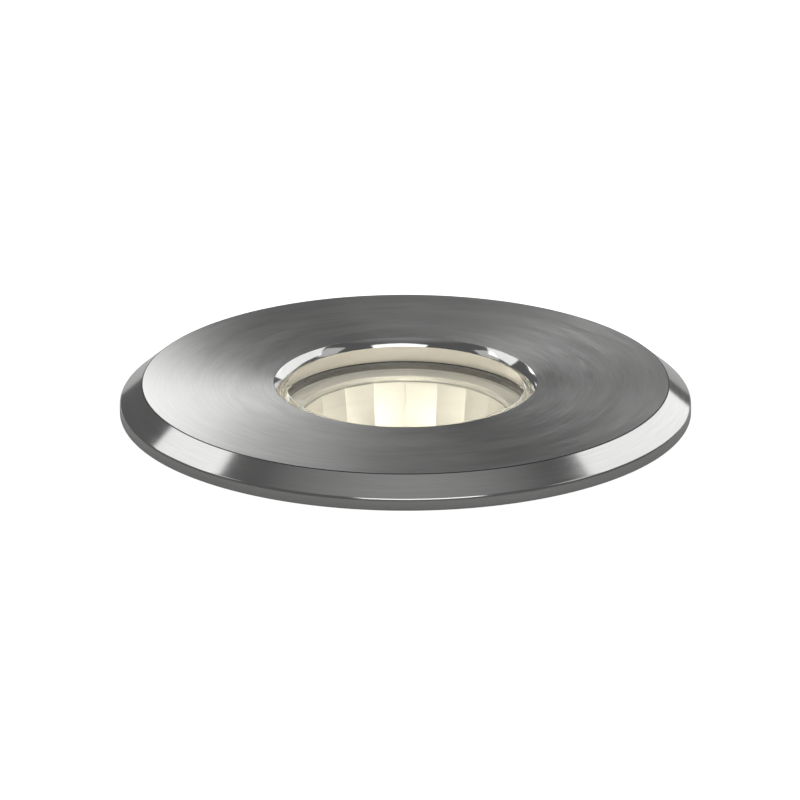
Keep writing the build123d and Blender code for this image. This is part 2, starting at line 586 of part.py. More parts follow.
# ---------------------------------------------------------------- rear cover and gland
def rear_cover():
    """Disc that closes the can, with a seal groove, sunk screw heads, gland and vent holes."""
    cover = rod(CAN_RADIUS - COVER_MARGIN, COVER_BOTTOM, CAN_BOTTOM)
    half_groove = COVER_SEAL_SECTION / 2 + SEAL_GAP
    seal_radius = COVER_SEAL_CIRCLE / 2
    groove_bottom = CAN_BOTTOM - COVER_GROOVE_DEPTH
    cover -= tube(seal_radius + half_groove, seal_radius - half_groove, groove_bottom, CAN_BOTTOM)
    hole = tapped(M3, COVER_BOTTOM, CAN_BOTTOM)
    hole += rod(M3[1] / 2 + HEAD_CLEARANCE, COVER_BOTTOM, COVER_BOTTOM + M3[2])
    cover -= placed(hole, BOSS_CIRCLE / 2, BOSS_ANGLES)
    cover -= rod(GLAND_THREAD / 2 + GLAND_CLEARANCE, COVER_BOTTOM, CAN_BOTTOM)
    vent_hole = rod(VENT_THREAD / 2 + SCREW_CLEARANCE, COVER_BOTTOM, CAN_BOTTOM)
    cover -= placed(vent_hole, VENT_CIRCLE / 2, VENT_ANGLES)
    rim = cover.edges().group_by(Axis.Z)[0].sort_by(SortBy.LENGTH)[-1]
    return chamfer(rim, COVER_CHAMFER)


def cover_seal():
    """O-ring in the cover's groove."""
    level = CAN_BOTTOM - COVER_GROOVE_DEPTH + COVER_SEAL_SECTION / 2
    return oring(COVER_SEAL_CIRCLE, COVER_SEAL_SECTION, level)


def cover_screws():
    """Four screws from below into the can's bosses."""
    screw = Pos(0, 0, COVER_BOTTOM + M3[2]) * cap_screw(M3, COVER_SCREW_LENGTH)
    return placed(screw, BOSS_CIRCLE / 2, BOSS_ANGLES)


def vent_plug():
    """Pressure-equalising plug beside the gland."""
    plug = rod(VENT_THREAD / 2, COVER_BOTTOM, CAN_BOTTOM)
    plug += hexagon(VENT_HEAD_WIDTH, COVER_BOTTOM - VENT_HEAD_HEIGHT, COVER_BOTTOM)
    plug -= rod(VENT_HOLE_DIAMETER / 2, COVER_BOTTOM - VENT_HEAD_HEIGHT, CAN_BOTTOM)
    return placed(plug, VENT_CIRCLE / 2, VENT_ANGLES)


def gland_body():
    """Gland: thread through the cover, hexagon, and an outer neck that holds the seal."""
    body = rod(GLAND_THREAD / 2, COVER_BOTTOM, COVER_BOTTOM + GLAND_INNER_LENGTH)
    body += hexagon(GLAND_HEX, GLAND_HEX_BOTTOM, COVER_BOTTOM)
    body += rod(GLAND_NECK_DIAMETER / 2, GLAND_NECK_BOTTOM, GLAND_HEX_BOTTOM)
    body -= rod(GLAND_BORE / 2, GLAND_NECK_BOTTOM, COVER_BOTTOM + GLAND_INNER_LENGTH)
    well = GLAND_SEAL_DIAMETER / 2 + GLAND_CLEARANCE
    return body - rod(well, GLAND_NECK_BOTTOM, GLAND_NECK_BOTTOM + GLAND_SEAL_LENGTH)


def gland_seal():
    """Rubber sleeve that the gland nut squeezes round the cable."""
    top = GLAND_NECK_BOTTOM + GLAND_SEAL_LENGTH
    return tube(GLAND_SEAL_DIAMETER / 2, GLAND_BORE / 2, GLAND_NECK_BOTTOM, top)


def gland_nut():
    """Domed nut of the gland."""
    nut = hexagon(GLAND_HEX, GLAND_NUT_BOTTOM, GLAND_NUT_TOP)
    nut &= turned(
        (0, GLAND_NUT_BOTTOM), (GLAND_DOME_FACE / 2, GLAND_NUT_BOTTOM),
        (GLAND_DOME_DIAMETER / 2, GLAND_NUT_BOTTOM + GLAND_DOME_HEIGHT),
        (GLAND_DOME_DIAMETER / 2, GLAND_NUT_TOP), (0, GLAND_NUT_TOP),
    )
    socket = GLAND_NECK_DIAMETER / 2 + GLAND_CLEARANCE
    nut -= rod(socket, GLAND_NECK_BOTTOM - GLAND_CLEARANCE, GLAND_NUT_TOP)
    return nut - rod(GLAND_BORE / 2, GLAND_NUT_BOTTOM, GLAND_NUT_TOP)


def gland_locknut():
    """Nut inside the can that pulls the gland tight."""
    nut = hexagon(GLAND_HEX, CAN_BOTTOM, CAN_BOTTOM + LOCKNUT_HEIGHT)
    return nut - rod(GLAND_THREAD / 2 + SCREW_CLEARANCE, CAN_BOTTOM, CAN_BOTTOM + LOCKNUT_HEIGHT)


# ---------------------------------------------------------------- ground sleeve
def ground_sleeve():
    """Plastic sleeve cast or bedded into the ground, flush with its surface."""
    sleeve = tube(SLEEVE_OUTSIDE, SLEEVE_RADIUS, SLEEVE_BOTTOM, 0)
    boss = rod(SLEEVE_BOSS_DIAMETER / 2, SLEEVE_BOTTOM, SLEEVE_BOTTOM + SLEEVE_BOSS_HEIGHT)
    sleeve += placed(boss, SLEEVE_BOSS_CIRCLE / 2, SLEEVE_BOSS_ANGLES)
    pad_top = PORT_LEVEL + PORT_PAD_WIDTH / 2
    pad = Pos(0, PORT_PAD_FACE + SLEEVE_RADIUS / 2, 0) * block(
        (PORT_PAD_WIDTH, SLEEVE_RADIUS, pad_top - SLEEVE_BOTTOM), SLEEVE_BOTTOM
    )
    sleeve += pad & rod(SLEEVE_RADIUS + SLEEVE_WALL / 2, SLEEVE_BOTTOM, pad_top)
    port = Rot(90, 0, 0) * Cylinder(PORT_DIAMETER / 2, SLEEVE_RADIUS)
    sleeve -= Pos(0, SLEEVE_OUTSIDE, PORT_LEVEL) * port
    hole_depth = BASE_SCREW_LENGTH - (BASE_THICKNESS - M3[2]) + HOLE_RUN_OUT
    hole = tapped(M3, SLEEVE_BOTTOM, SLEEVE_BOTTOM + hole_depth)
    sleeve -= placed(hole, SLEEVE_BOSS_CIRCLE / 2, SLEEVE_BOSS_ANGLES)
    for groove in range(SLEEVE_GROOVES):
        level = -SLEEVE_GROOVE_START - SLEEVE_GROOVE_PITCH * groove
        low = level - SLEEVE_GROOVE_WIDTH / 2
        high = level + SLEEVE_GROOVE_WIDTH / 2
        sleeve -= tube(SLEEVE_OUTSIDE, SLEEVE_OUTSIDE - SLEEVE_GROOVE_DEPTH, low, high)
    return sleeve


def sleeve_grommet():
    """Rubber bush in the sleeve's cable port."""
    reach = SLEEVE_OUTSIDE - SLEEVE_GROOVE_DEPTH - PORT_PAD_FACE
    bush = rod(PORT_DIAMETER / 2 - GROMMET_CLEARANCE, -reach, 0)
    bush += rod(GROMMET_FLANGE_DIAMETER / 2, 0, GROMMET_FLANGE_THICKNESS)
    bush -= rod(GROMMET_BORE / 2, -reach, GROMMET_FLANGE_THICKNESS)
    return Pos(0, PORT_PAD_FACE, PORT_LEVEL) * Rot(90, 0, 0) * bush


def sleeve_base():
    """Floor of the sleeve, with a middle hole, drain slots and a ring that centres it."""
    base = tube(SLEEVE_OUTSIDE, BASE_HOLE_DIAMETER / 2, BASE_BOTTOM, SLEEVE_BOTTOM)
    ring_outer = (SLEEVE_BOSS_CIRCLE - SLEEVE_BOSS_DIAMETER) / 2 - BASE_RING_GAP
    base += tube(ring_outer, ring_outer - BASE_RING_WALL, SLEEVE_BOTTOM, SLEEVE_BOTTOM + BASE_RING_HEIGHT)
    slot_face = SlotOverall(DRAIN_SLOT_LENGTH, DRAIN_SLOT_WIDTH)
    slot = Pos(0, 0, BASE_BOTTOM) * extrude(slot_face, BASE_THICKNESS)
    base -= placed(slot, DRAIN_CIRCLE / 2, evenly(DRAIN_SLOTS))
    hole = tapped(M3, BASE_BOTTOM, SLEEVE_BOTTOM)
    hole += rod(M3[1] / 2 + HEAD_CLEARANCE, BASE_BOTTOM, BASE_BOTTOM + M3[2])
    return base - placed(hole, SLEEVE_BOSS_CIRCLE / 2, SLEEVE_BOSS_ANGLES)


def base_screws():
    """Three screws that hold the sleeve's floor."""
    screw = Pos(0, 0, BASE_BOTTOM + M3[2]) * cap_screw(M3, BASE_SCREW_LENGTH)
    return placed(screw, SLEEVE_BOSS_CIRCLE / 2, SLEEVE_BOSS_ANGLES)


PIECES = [
    trim_ring, glass_seal, glass_snap_ring, glass_lens,
    glass_cushion, trim_seal, reflector, led_emitter, led_board, led_holder,
    led_holder_screws, heat_spreader, spreader_screws, led_leads,
    housing_can, retaining_rings, driver_standoffs, driver_board, driver_screws,
    driver_inductor, driver_capacitors, driver_chips, terminal_block,
    rear_cover, cover_seal, cover_screws, vent_plug,
    gland_body, gland_seal, gland_nut, gland_locknut,
    ground_sleeve, sleeve_grommet, sleeve_base, base_screws,
]


def main():
    """Write each piece to parts/ under its own name, and print what the joints need."""
    os.makedirs("parts", exist_ok=True)
    for piece in PIECES:
        name = piece.__name__
        shape = piece()
        shape.label = name
        export_step(shape, os.path.join("parts", name + ".step"))
    print(f"insert travel {INSERT_TRAVEL:.2f}, trim lift {TRIM_LIFT:.2f} in {THREAD_TURNS:g} turns")
    print(f"sleeve bottom {SLEEVE_BOTTOM:.2f}, base bottom {BASE_BOTTOM:.2f}, port {PORT_LEVEL:.2f}")
    print(f"gland nut {GLAND_NUT_BOTTOM:.2f} to {GLAND_NUT_TOP:.2f}")


main()
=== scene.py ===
import math

import bmesh
import bpy
from bpy.props import FloatProperty, FloatVectorProperty, IntProperty, PointerProperty
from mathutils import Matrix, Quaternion, Vector


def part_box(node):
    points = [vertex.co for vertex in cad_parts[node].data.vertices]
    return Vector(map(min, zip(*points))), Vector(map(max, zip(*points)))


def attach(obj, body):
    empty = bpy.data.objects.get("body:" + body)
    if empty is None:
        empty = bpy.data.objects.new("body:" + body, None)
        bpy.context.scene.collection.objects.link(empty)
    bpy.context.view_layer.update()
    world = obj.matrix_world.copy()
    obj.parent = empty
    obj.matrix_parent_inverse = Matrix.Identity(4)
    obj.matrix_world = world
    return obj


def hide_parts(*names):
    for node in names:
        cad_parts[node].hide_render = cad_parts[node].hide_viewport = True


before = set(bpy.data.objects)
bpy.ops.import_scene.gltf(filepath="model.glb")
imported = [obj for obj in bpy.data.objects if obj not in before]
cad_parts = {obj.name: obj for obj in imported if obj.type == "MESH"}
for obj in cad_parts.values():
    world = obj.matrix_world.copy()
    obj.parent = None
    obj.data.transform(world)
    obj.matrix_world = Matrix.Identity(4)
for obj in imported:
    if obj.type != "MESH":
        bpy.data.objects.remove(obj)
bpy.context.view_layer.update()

bl_info = {
    "name": "In-ground well light",
    "version": (1, 0, 0),
    "blender": (4, 5, 0),
    "location": "3D View > Sidebar > Well light",
    "description": "Surfaces, fine detail and a plain studio for a round in-ground light",
    "category": "Object",
}

MM = 0.001
TRIM_LOW, TRIM_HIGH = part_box("trim_ring")
GLASS_LOW, GLASS_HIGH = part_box("glass_lens")
EMITTER_LOW, EMITTER_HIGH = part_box("led_emitter")
SLEEVE_LOW, SLEEVE_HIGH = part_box("ground_sleeve")
RIM_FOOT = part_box("glass_cushion")[0].z     # where the reflector's raised rim starts
THREAD_LEAD = 4.0 * MM     # one turn of the trim ring lifts it by this much

# Sockets that go by number: those of a Map Range, of a Mix of numbers and of a Mix of colours.
VALUE, FROM_LOW, FROM_HIGH, TO_LOW, TO_HIGH = range(5)
FACTOR, NUMBER_ONE, NUMBER_TWO = 0, 2, 3
COLOUR_ONE, COLOUR_TWO, COLOUR_OUT = 6, 7, 2


def linear(hex_colour):
    """sRGB hex, as #RRGGBB, to the linear red, green and blue that shaders take."""
    channels = [int(hex_colour[start:start + 2], 16) / 255 for start in (1, 3, 5)]
    return tuple(c / 12.92 if c <= 0.04045 else ((c + 0.055) / 1.055) ** 2.4 for c in channels)


def length(name, description, millimetres):
    """A size that a user may change, in metres underneath."""
    return FloatProperty(name=name, description=description, default=millimetres * MM,
                         min=0.0, precision=5, unit="LENGTH")


def colour(name, description, hex_colour):
    """A colour that a user may change."""
    return FloatVectorProperty(name=name, description=description, default=linear(hex_colour),
                               min=0.0, max=1.0, size=3, subtype="COLOR")


def share(name, description, default):
    """A number from 0 to 1 that a user may change."""
    return FloatProperty(name=name, description=description, default=default,
                         min=0.0, max=1.0, subtype="FACTOR")


def brightness(name, description, default):
    """How bright a lamp or a background shows, with white at 1, that a user may change."""
    return FloatProperty(name=name, description=description, default=default, min=0.0)


# ---------------------------------------------------------------- settings
class WellLightTrim(bpy.types.PropertyGroup):
    """Trim ring: sizes and steel."""
    window: length("Window", "Radius of the opening in the flange", 21.85)
    lip: length("Lip width", "Polished chamfer at the window's edge, seen from above", 1.15)
    lip_depth: length("Lip depth", "How far that chamfer goes down", 1.35)
    lip_crown: length("Lip crown", "How far the chamfer stands out of a straight line", 0.065)
    bevel: length("Bevel width", "Width of the outer bevel, seen from above", 3.95)
    rim: length("Rim height", "Upright edge below the bevel", 2.0)
    seat: length("Seat radius", "Where the underside begins to lie on the ground", 42.6)
    neck: length("Neck radius", "Outside of the threaded neck", 26.0)
    bore: length("Bore radius", "Inside of the neck, round the glass", 22.6)
    thread_depth: length("Thread depth", "Depth of the neck's screw thread", 0.75)
    segments: IntProperty(name="Segments", description="Divisions round the ring",
                          default=360, min=48, max=1024)
    steel: colour("Steel", "Reflection colour of the stainless steel", "#C3C3C2")
    grain: length("Brush spacing", "Distance between brush lines, drawn coarse enough to show", 0.32)
    anisotropy: share("Anisotropy", "How far the brush lines stretch a highlight", 0.85)


class WellLightGlass(bpy.types.PropertyGroup):
    """Thick walk-over glass."""
    chamfer: length("Chamfer", "Bevel round the glass's top edge", 1.65)
    foot: length("Foot chamfer", "Small chamfer of the lower edge", 0.3)
    edge: length("Edge rounding", "Rounding of the ground edges", 0.15)
    tint: colour("Tint", "Colour of the glass", "#FAFBF9")


class WellLightLed(bpy.types.PropertyGroup):
    """Light source under its phosphor."""
    glow: colour("Glow", "Colour of the light", "#FFFAEE")
    strength: brightness("Strength", "Brightness of the phosphor", 54.0)
    dam: length("Dam width", "Width of the white ring that holds the phosphor", 0.7)


class WellLightStage(bpy.types.PropertyGroup):
    """Floor, background, lamps and camera."""
    floor_radius: length("Floor radius", "Outside of the pale floor", 1100.0)
    floor: colour("Floor", "Colour of the floor", "#F4F4F3")
    room: share("Room", "Brightness of the dim studio round the light", 0.15)
    low: brightness("Low lamp", "Brightness of the low lamp behind, at the left", 2.5)
    high: brightness("High lamp", "Brightness of the high lamp behind, at the left", 1.6)
    side: brightness("Side lamp", "Brightness of the weak lamp behind, at the right", 0.2)
    ceiling: brightness("Ceiling", "Brightness added straight overhead", 0.27)
    front: brightness("Front softbox", "Brightness of the softbox over the camera", 2.0)
    lip: brightness("Lip softboxes", "Brightness of the two that show in the lip", 0.6)
    left: brightness("Left softbox", "Brightness of the left softbox", 1.3)
    right: brightness("Right softbox", "Brightness of the right softbox", 1.3)
    elevation: FloatProperty(name="Elevation", description="Camera's angle above the ground",
                             default=math.radians(20.0), subtype="ANGLE")
    lens: FloatProperty(name="Lens", description="Focal length of the camera",
                        default=400.0, min=10.0, unit="CAMERA")


# ---------------------------------------------------------------- mesh helpers
HOLD = 0.04 * MM           # flat kept beside each rounding, so that shading stays even
ON_AXIS = 1e-7             # nearer to the axis than this, a point lies on it
SHARP = math.radians(32)   # edges that turn more than this stay sharp
GLASS_STEPS, EMITTER_STEPS, FLOOR_STEPS = 256, 128, 192     # divisions round each


def rounded(corners, degrees_per_step=9.0):
    """Outline points from (radius, height, rounding) corners, with an arc at each rounding."""
    points = []
    for index, (radius, height, rounding) in enumerate(corners):
        here = Vector((radius, height))
        if rounding <= 0:
            points.append(here)
            continue
        before = (Vector(corners[index - 1][:2]) - here).normalized()
        after = (Vector(corners[(index + 1) % len(corners)][:2]) - here).normalized()
        half = before.angle(after) / 2
        reach = rounding / math.tan(half)
        centre = here + (before + after).normalized() * (rounding / math.sin(half))
        start, end = here + before * reach - centre, here + after * reach - centre
        first = math.atan2(start.y, start.x)
        turn = (math.atan2(end.y, end.x) - first + math.pi) % (2 * math.pi) - math.pi
        steps = max(2, math.ceil(abs(math.degrees(turn)) / degrees_per_step))
        points.append(centre + start + before * HOLD)
        for step in range(steps + 1):
            angle = first + turn * step / steps
            points.append(centre + Vector((math.cos(angle), math.sin(angle))) * rounding)
        points.append(centre + end + after * HOLD)
    return points


def lathe(name, points, segments, closed=True, radius_at=None):
    """Mesh object turned about Z from outline points; radius_at may change a point's radius by angle."""
    mesh = bpy.data.meshes.new(name)
    work = bmesh.new()
    rows = []
    for point in points:
        if point.x < ON_AXIS:
            rows.append([work.verts.new((0, 0, point.y))] * segments)
            continue
        row = []
        for step in range(segments):
            angle = 2 * math.pi * step / segments
            radius = radius_at(angle, point.x, point.y) if radius_at else point.x
            row.append(work.verts.new((radius * math.cos(angle), radius * math.sin(angle), point.y)))
        rows.append(row)
    pairs = list(zip(rows, rows[1:] + rows[:1])) if closed else list(zip(rows, rows[1:]))
    for low, high in pairs:
        for step in range(segments):
            after = (step + 1) % segments
            loop = [low[step], low[after], high[after], high[step]]
            corners = [v for i, v in enumerate(loop) if v not in loop[:i]]
            if len(corners) > 2:
                work.faces.new(corners)
    bmesh.ops.recalc_face_normals(work, faces=work.faces)
    work.to_mesh(mesh)
    work.free()
    mesh.shade_smooth()
    mesh.set_sharp_from_angle(angle=SHARP)
    made = bpy.data.objects.new(name, mesh)
    bpy.context.scene.collection.objects.link(made)
    return made


def principled(material):
    """A material's tree, its shader and the socket that its colour comes from."""
    tree = material.node_tree
    shader = next(node for node in tree.nodes if node.type == "BSDF_PRINCIPLED")
    return tree, shader, shader.inputs["Base Color"].links[0].from_socket


def dress(piece, *materials, rule=None):
    """Gives a piece its materials; rule picks one from a face's radius, height and normal."""
    piece.data.materials.clear()
    for material in materials:
        piece.data.materials.append(material)
    for face in piece.data.polygons:
        face.material_index = 0
        if rule:
            x, y, z = face.center
            face.material_index = rule(math.hypot(x, y), z, face.normal)


# ---------------------------------------------------------------- material helpers
def add(tree, kind, inputs=None, **settings):
    """One node with its settings; each input is a plain value or a socket to link from."""
    node = tree.nodes.new(kind)
    for name, value in settings.items():
        setattr(node, name, value)
    for key, value in (inputs or {}).items():
        if isinstance(value, bpy.types.NodeSocket):
            tree.links.new(value, node.inputs[key])
        else:
            node.inputs[key].default_value = value
    return node


def blank(name):
    """New material with only a Principled shader: the material, its tree and the shader."""
    material = bpy.data.materials.new(name)
    material.use_nodes = True
    tree = material.node_tree
    tree.nodes.clear()
    shader = add(tree, "ShaderNodeBsdfPrincipled")
    add(tree, "ShaderNodeOutputMaterial", {"Surface": shader.outputs["BSDF"]})
    return material, tree, shader


def set_inputs(shader, **values):
    """Constants on the shader's own sockets, named with _ for spaces."""
    for name, value in values.items():
        shader.inputs[name.replace("_", " ")].default_value = value


def rgba(values):
    """Three linear channels with full alpha."""
    return (*values, 1.0)


def turned_metal(name, base, roughness, swing, grain, relief, anisotropy=0.0, rotation=0.25,
                 contrast=0.05):
    """Metal with circular tool marks about the light's axis, which stretch highlights.

    grain is the distance between marks and relief their depth, in metres; swing is how much
    the roughness varies from mark to mark, and contrast how much the tone does.
    """
    material, tree, shader = blank(name)
    place = add(tree, "ShaderNodeTexCoord").outputs["Object"]
    parts = add(tree, "ShaderNodeSeparateXYZ", {0: place})
    level = add(tree, "ShaderNodeCombineXYZ", {"X": parts.outputs["X"], "Y": parts.outputs["Y"]})
    radius = add(tree, "ShaderNodeVectorMath", {0: level.outputs[0]}, operation="LENGTH")
    across = add(tree, "ShaderNodeMath", {0: radius.outputs["Value"], 1: parts.outputs["Z"]},
                 operation="SUBTRACT")
    around = add(tree, "ShaderNodeVectorMath", {0: level.outputs[0]}, operation="NORMALIZE")
    turn = add(tree, "ShaderNodeSeparateXYZ", {0: around.outputs["Vector"]})

    def marks(spacing, runs, detail):
        """Noise stretched round the axis: runs is how often a mark changes along its length."""
        count = add(tree, "ShaderNodeMath", {0: across.outputs[0], 1: 1 / spacing}, operation="MULTIPLY")
        east = add(tree, "ShaderNodeMath", {0: turn.outputs["X"], 1: runs}, operation="MULTIPLY")
        north = add(tree, "ShaderNodeMath", {0: turn.outputs["Y"], 1: runs}, operation="MULTIPLY")
        where = add(tree, "ShaderNodeCombineXYZ",
                    {"X": count.outputs[0], "Y": east.outputs[0], "Z": north.outputs[0]})
        return add(tree, "ShaderNodeTexNoise", {
            "Vector": where.outputs[0], "Scale": 1.0, "Detail": detail, "Roughness": 0.55,
        }).outputs["Fac"]

    fine = marks(grain, 5.0, 3.0)
    broad = marks(grain * 9, 1.6, 2.0)
    tone = add(tree, "ShaderNodeMix", {FACTOR: 0.45, NUMBER_ONE: fine, NUMBER_TWO: broad},
               data_type="FLOAT")
    spread = add(tree, "ShaderNodeMapRange", {
        VALUE: tone.outputs[0], FROM_LOW: 0.35, FROM_HIGH: 0.65, TO_LOW: 0.0, TO_HIGH: 1.0,
    })
    shade = add(tree, "ShaderNodeMix", {
        FACTOR: spread.outputs[0],
        COLOUR_ONE: rgba([c * (1 - contrast) for c in base]),
        COLOUR_TWO: rgba([min(1.0, c * (1 + contrast)) for c in base]),
    }, data_type="RGBA")
    rough = add(tree, "ShaderNodeMapRange", {
        VALUE: tone.outputs[0], FROM_LOW: 0.3, FROM_HIGH: 0.7,
        TO_LOW: roughness - swing, TO_HIGH: roughness + swing,
    })
    bump = add(tree, "ShaderNodeBump", {"Strength": 0.5, "Distance": relief, "Height": fine})
    set_inputs(shader, Metallic=1.0, Anisotropic=anisotropy, Anisotropic_Rotation=rotation)
    tree.links.new(shade.outputs[COLOUR_OUT], shader.inputs["Base Color"])
    tree.links.new(rough.outputs[0], shader.inputs["Roughness"])
    tree.links.new(bump.outputs[0], shader.inputs["Normal"])
    if anisotropy:
        tangent = add(tree, "ShaderNodeTangent", direction_type="RADIAL", axis="Z")
        tree.links.new(tangent.outputs[0], shader.inputs["Tangent"])
    return material


def moulded(name, first, second, roughness, swing, grain, relief, blotch, metallic=0.0, **constants):
    """Moulded, cast or plated surface: a fine relief, an uneven gloss and a slow change of tone.

    grain and blotch are sizes of the relief and of the tone's patches, in millimetres, and
    relief is its depth in millimetres.
    """
    material, tree, shader = blank(name)
    place = add(tree, "ShaderNodeTexCoord").outputs["Object"]
    fine = add(tree, "ShaderNodeTexNoise", {
        "Vector": place, "Scale": 1 / (grain * MM), "Detail": 4.0, "Roughness": 0.6,
    }).outputs["Fac"]
    slow = add(tree, "ShaderNodeTexNoise", {
        "Vector": place, "Scale": 1 / (blotch * MM), "Detail": 3.0, "Roughness": 0.5,
    }).outputs["Fac"]
    tone = add(tree, "ShaderNodeMix", {FACTOR: 0.35, NUMBER_ONE: slow, NUMBER_TWO: fine},
               data_type="FLOAT")
    spread = add(tree, "ShaderNodeMapRange", {
        VALUE: tone.outputs[0], FROM_LOW: 0.3, FROM_HIGH: 0.7, TO_LOW: 0.0, TO_HIGH: 1.0,
    })
    shade = add(tree, "ShaderNodeMix", {
        FACTOR: spread.outputs[0], COLOUR_ONE: rgba(linear(first)), COLOUR_TWO: rgba(linear(second)),
    }, data_type="RGBA")
    rough = add(tree, "ShaderNodeMapRange", {
        VALUE: slow, FROM_LOW: 0.3, FROM_HIGH: 0.7,
        TO_LOW: roughness - swing, TO_HIGH: roughness + swing,
    })
    bump = add(tree, "ShaderNodeBump", {"Strength": 0.6, "Distance": relief * MM, "Height": fine})
    set_inputs(shader, Metallic=metallic, **constants)
    tree.links.new(shade.outputs[COLOUR_OUT], shader.inputs["Base Color"])
    tree.links.new(rough.outputs[0], shader.inputs["Roughness"])
    tree.links.new(bump.outputs[0], shader.inputs["Normal"])
    return material


def finish(node, *values, **constants):
    """A moulded or cast surface on a CAD node that keeps its own shape."""
    made = bpy.data.materials.get(values[0]) or moulded(*values, **constants)
    dress(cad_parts[node], made)
    return made


def fastener(node):
    """Small stainless screws and spacers: bright, lightly worn."""
    finish(node, "stainless_fastener", "#A9A8A4", "#BDBCB8", 0.28, 0.06, 0.2, 0.004, 2, metallic=1.0)


def rubber(node):
    """Black EPDM rubber: matt, with a grey bloom."""
    finish(node, "epdm_rubber", "#151516", "#202021", 0.58, 0.06, 0.35, 0.008, 6, IOR=1.5)


def stand_for(piece, node, body):
    """The piece takes the place of a CAD node and moves with its body."""
    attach(piece, body)
    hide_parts(node)


# ---------------------------------------------------------------- pieces
class WELLLIGHT_OT_trim(bpy.types.Operator):
    """Turned and brushed steel flange with its polished window lip and threaded neck"""
    bl_idname = "well_light.trim"
    bl_label = "Trim ring"

    def execute(self, context):
        size = context.scene.well_light_trim
        outside, top = TRIM_HIGH.x, TRIM_HIGH.z
        bottom = TRIM_LOW.z
        flat = outside - size.bevel
        undercut = 0.4 * MM            # how far the underside stands off the ground by the neck
        land = top - size.lip_depth - 0.15 * MM     # where the window's upright edge ends
        lip_high = Vector((size.window + size.lip, top))
        lip_low = Vector((size.window, top - size.lip_depth))
        outward = Vector((-size.lip_depth, size.lip)).normalized() * size.lip_crown
        crown, crown_steps = [], 8
        for step in range(1, crown_steps):
            part_way = step / crown_steps
            spot = lip_high.lerp(lip_low, part_way) + outward * (4 * part_way * (1 - part_way))
            crown.append((spot.x, spot.y, 0))
        groove_top, groove_bottom = GLASS_LOW.z, GLASS_LOW.z - 1.0 * MM
        groove = size.bore + 0.9 * MM
        neck_steps = 96
        neck = [
            Vector((size.neck, undercut - (undercut - bottom - 0.3 * MM) * step / neck_steps))
            for step in range(1, neck_steps)
        ]
        foot = rounded([
            (outside - 1 * MM, 0, 0), (outside, 0, 0.25 * MM), (outside, size.rim, 0.7 * MM),
            (flat, top, 0.45 * MM), (*lip_high, 0.12 * MM), *crown, (*lip_low, 0.12 * MM),
            (size.window, land, 0),
            (size.bore, land - (size.bore - size.window), 0), (size.bore, groove_top, 0),
            (groove, groove_top, 0), (groove, groove_bottom, 0), (size.bore, groove_bottom, 0),
            (size.bore, bottom, 0.15 * MM), (size.neck - size.thread_depth, bottom, 0),
        ])
        points = foot + neck[::-1] + [
            Vector((size.neck, undercut)), Vector((size.seat, undercut)), Vector((size.seat, 0)),
        ]
        run_out = 0.8 * MM             # length over which the thread fades at its top
        half_crest, flank = 0.12, 0.14     # as shares of the distance between two grooves

        def thread(angle, radius, height):
            """Radius of the neck with its two-start trapezoid groove, which runs out at the top."""
            if radius != size.neck or not bottom < height < undercut - run_out:
                return radius
            phase = (height / THREAD_LEAD - angle / (2 * math.pi)) * 2 % 1.0
            groove_share = min(1.0, max(0.0, (abs(phase - 0.5) - half_crest) / flank))
            fade = min(1.0, (undercut - run_out - height) / run_out)
            return radius - size.thread_depth * groove_share * fade

        ring = lathe("trim_flange", points, size.segments, radius_at=thread)
        # Austenitic stainless, finished on a lathe with abrasive: fine rings that draw the
        # reflections out across them.
        face = turned_metal("stainless_lathe_brushed", size.steel, 0.34, 0.06, size.grain,
                            0.01 * MM, size.anisotropy, contrast=0.13)
        # The same steel, turned with a fine feed: tighter reflections and fainter rings.
        bevel = turned_metal("stainless_fine_turned", size.steel, 0.13, 0.02, size.grain * 0.8,
                             0.002 * MM, size.anisotropy * 0.7)
        # Buffed edge: almost a mirror.
        polished = turned_metal("stainless_buffed", size.steel, 0.08, 0.02, size.grain * 0.5,
                                0.001 * MM, 0.3)
        # Plain machined steel, as the tool left it.
        machined = turned_metal("stainless_machined", size.steel, 0.3, 0.06, 0.25 * MM, 0.01 * MM)
        # The upright rim, in duller steel whose darker colour is painted shade, standing in for the
        # darker surroundings that it mirrors.
        rim_painted_dark = turned_metal("stainless_rim_painted_dark", linear("#A3A3A2"), 0.34, 0.05, 0.25 * MM,
                              0.01 * MM)
        # The corner between face and bevel: a fine dark line, painted shade that stands in for the dark
        # that this corner mirrors.
        corner_painted_dark = turned_metal("stainless_corner_painted_dark", linear("#4E4F50"), 0.42, 0.05, 0.2 * MM,
                              0.004 * MM)

        on_face, on_bevel, on_lip, on_machined, on_rim, on_corner = range(6)
        underside = 0.02 * MM
        level = 0.99

        def part(radius, height, normal):
            """Which of the ring's finishes a face has, by its place and its tilt."""
            if height > land and radius < size.window + size.lip + 0.1 * MM:
                return on_lip
            if radius > flat - 0.4 * MM and 0.8 < normal.z < level:
                return on_corner
            if radius > outside - 0.1 * MM and underside < height < size.rim:
                return on_rim
            if radius > flat and height > underside:
                return on_bevel
            return on_face if normal.z > level and height > underside else on_machined

        dress(ring, face, bevel, polished, machined, rim_painted_dark, corner_painted_dark, rule=part)
        stand_for(ring, "trim_ring", "trim")

        # Translucent silicone gasket: soft grey, slightly waxy.
        finish("glass_seal", "silicone_gasket", "#8E8C84", "#9C9A92", 0.45, 0.05, 0.4, 0.01, 6,
               IOR=1.41, Subsurface_Weight=0.1, Subsurface_Scale=0.001)
        # Oil-tempered spring steel: dark, a little glossy.
        spring = turned_metal("spring_steel_tempered", linear("#2B2A28"), 0.3, 0.04, 0.2 * MM,
                              0.003 * MM)
        dress(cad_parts["glass_snap_ring"], spring)
        # Black EPDM O-ring: matt with a faint bloom.
        finish("trim_seal", "epdm_seal", "#151516", "#1D1D1E", 0.55, 0.06, 0.3, 0.006, 5, IOR=1.5)
        return {"FINISHED"}


